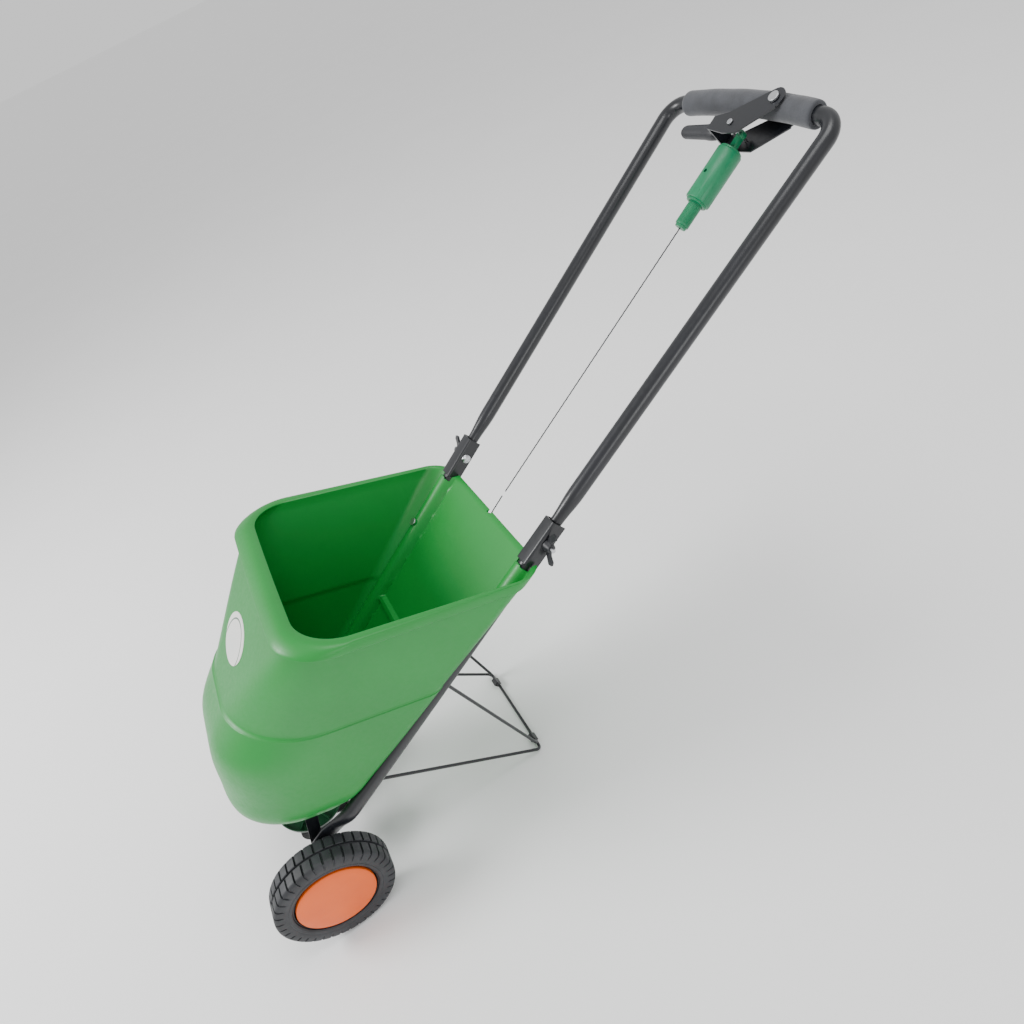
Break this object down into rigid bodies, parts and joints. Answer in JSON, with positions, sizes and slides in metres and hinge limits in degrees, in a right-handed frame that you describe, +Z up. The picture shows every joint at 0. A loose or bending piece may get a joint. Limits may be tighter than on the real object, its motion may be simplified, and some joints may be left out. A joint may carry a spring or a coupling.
{
  "type": "garden spreader",
  "caption": "Walk-behind garden spreader with a green plastic hopper, treaded wheels, spinning disc, wire stand and a folding handle with a squeeze lever that opens the outlet.",
  "frame": {"origin": "on the floor under the middle of the bounding box", "axes": "+Z up, -Y the way the spreader travels, +Y towards the person pushing it, +X the left-hand side of that person"},
  "size_m": [0.3556, 1.1284, 0.7152],
  "materials": {
    "hopper_green": "satin moulded green",
    "black_painted_steel": "black gloss paint",
    "zinc_steel": "zinc plated",
    "dark_wire": "dark twisted steel",
    "tyre_rubber": "moulded tread",
    "black_plastic": "fine grain",
    "orange_plastic": "satin",
    "dark_green_plastic": "satin",
    "adjuster_green": "satin",
    "grip_foam": "closed-cell foam",
    "label_vinyl": "printed film without lettering",
    "nylon": "natural"
  },
  "bodies": {
    "frame": {"axle_bush_left": "nylon", "axle_bush_right": "nylon", "clamp_bolt_left": "zinc_steel", "clamp_bolt_right": "zinc_steel", "front_strut_left": "black_painted_steel", "front_strut_right": "black_painted_steel", "gearbox_arm": "black_painted_steel", "gearbox_lower": "black_plastic", "gearbox_upper": "black_plastic", "hopper": "hopper_green", "hopper_bolt_lower_left": "zinc_steel", "hopper_bolt_lower_right": "zinc_steel", "hopper_bolt_upper_left": "zinc_steel", "hopper_bolt_upper_right": "zinc_steel", "hopper_label": "label_vinyl", "lower_tube_left": "black_painted_steel", "lower_tube_right": "black_painted_steel", "outlet_base_plate": "black_painted_steel", "stand_bar": "black_painted_steel", "stand_brace_left": "black_painted_steel", "stand_brace_right": "black_painted_steel", "stand_clip_left": "black_painted_steel", "stand_clip_right": "black_painted_steel", "wire_guide": "dark_green_plastic"},
    "axle_drive": {"axle_rod": "zinc_steel", "tyre_left": "tyre_rubber", "wheel_hub_left": "black_plastic", "wheel_cap_left": "orange_plastic", "crown_gear": "nylon", "axle_washer_left": "zinc_steel", "axle_washer_right": "zinc_steel", "axle_clip_left": "zinc_steel", "axle_clip_right": "zinc_steel"},
    "free_wheel": {"tyre_right": "tyre_rubber", "wheel_hub_right": "black_plastic", "wheel_cap_right": "orange_plastic"},
    "impeller_unit": {"impeller": "dark_green_plastic", "impeller_shaft": "zinc_steel", "impeller_pinion": "nylon", "agitator": "black_plastic"},
    "handle": {"handle_tube": "black_painted_steel", "foam_grip": "grip_foam", "lever_pivot_bolt": "zinc_steel", "lever_pivot_nut": "zinc_steel"},
    "lever": {"squeeze_lever": "black_painted_steel", "lever_tip": "black_plastic", "clevis_pin": "zinc_steel"},
    "pull_rod": {"adjuster_clevis": "adjuster_green", "adjuster_barrel": "adjuster_green", "pull_wire_upper": "dark_wire"},
    "adjuster": {"adjuster_sleeve": "adjuster_green"},
    "lower_wire": {"pull_wire_lower": "dark_wire"},
    "gate": {"gate_plate": "zinc_steel"},
    "wing_left": {"wing_nut_left": "black_plastic"},
    "wing_right": {"wing_nut_right": "black_plastic"}
  },
  "joints": [
    {"name": "axle_spin", "type": "hinge", "parent": "frame", "child": "axle_drive", "pos_m": [0, -0.47924, 0.085], "axis": [1, 0, 0], "continuous": true},
    {"name": "free_wheel_spin", "type": "hinge", "parent": "frame", "child": "free_wheel", "pos_m": [0, -0.47924, 0.085], "axis": [1, 0, 0], "continuous": true},
    {"name": "impeller_spin", "type": "hinge", "parent": "frame", "child": "impeller_unit", "pos_m": [0, -0.46983, 0.10708], "axis": [0, 0.392, 0.92], "continuous": true},
    {"name": "handle_fold", "type": "hinge", "parent": "frame", "child": "handle", "pos_m": [0, 0.0182, 0.40135], "axis": [1, 0, 0], "range_deg": [-64, 0]},
    {"name": "lever_squeeze", "type": "hinge", "parent": "handle", "child": "lever", "pos_m": [0.058, 0.54248, 0.69105], "axis": [0, -0.4836, 0.8753], "range_deg": [-7, 0], "stiffness_Nm_per_rad": 1.5, "springref_deg": 11.46},
    {"name": "pull_rod_swing", "type": "hinge", "parent": "lever", "child": "pull_rod", "pos_m": [0.01, 0.513, 0.6679], "axis": [0, -0.4836, 0.8753], "range_deg": [0, 7.5]},
    {"name": "adjuster_turn", "type": "hinge", "parent": "pull_rod", "child": "adjuster", "pos_m": [0.01, 0.513, 0.6679], "axis": [-0.0169, -0.8751, -0.4836], "range_deg": [-180, 180]},
    {"name": "lower_wire_slide", "type": "slide", "parent": "frame", "child": "lower_wire", "axis": [0, 0.8649, 0.502], "range_m": [0, 0.0062]},
    {"name": "gate_slide", "type": "slide", "parent": "frame", "child": "gate", "axis": [0, 0.92, -0.392], "range_m": [0, 0.0038]},
    {"name": "wing_left_turn", "type": "hinge", "parent": "frame", "child": "wing_left", "pos_m": [0, 0.0182, 0.40135], "axis": [1, 0, 0], "range_deg": [-90, 90]},
    {"name": "wing_right_turn", "type": "hinge", "parent": "frame", "child": "wing_right", "pos_m": [0, 0.0182, 0.40135], "axis": [1, 0, 0], "range_deg": [-90, 90]}
  ],
  "couplings": [
    {"joint": "impeller_spin", "follows": "axle_spin", "ratio": -3},
    {"joint": "pull_rod_swing", "follows": "lever_squeeze", "ratio": -1.0582},
    {"joint": "lower_wire_slide", "follows": "lever_squeeze", "m_per_rad": -0.049738},
    {"joint": "gate_slide", "follows": "lever_squeeze", "m_per_rad": -0.029789}
  ]
}
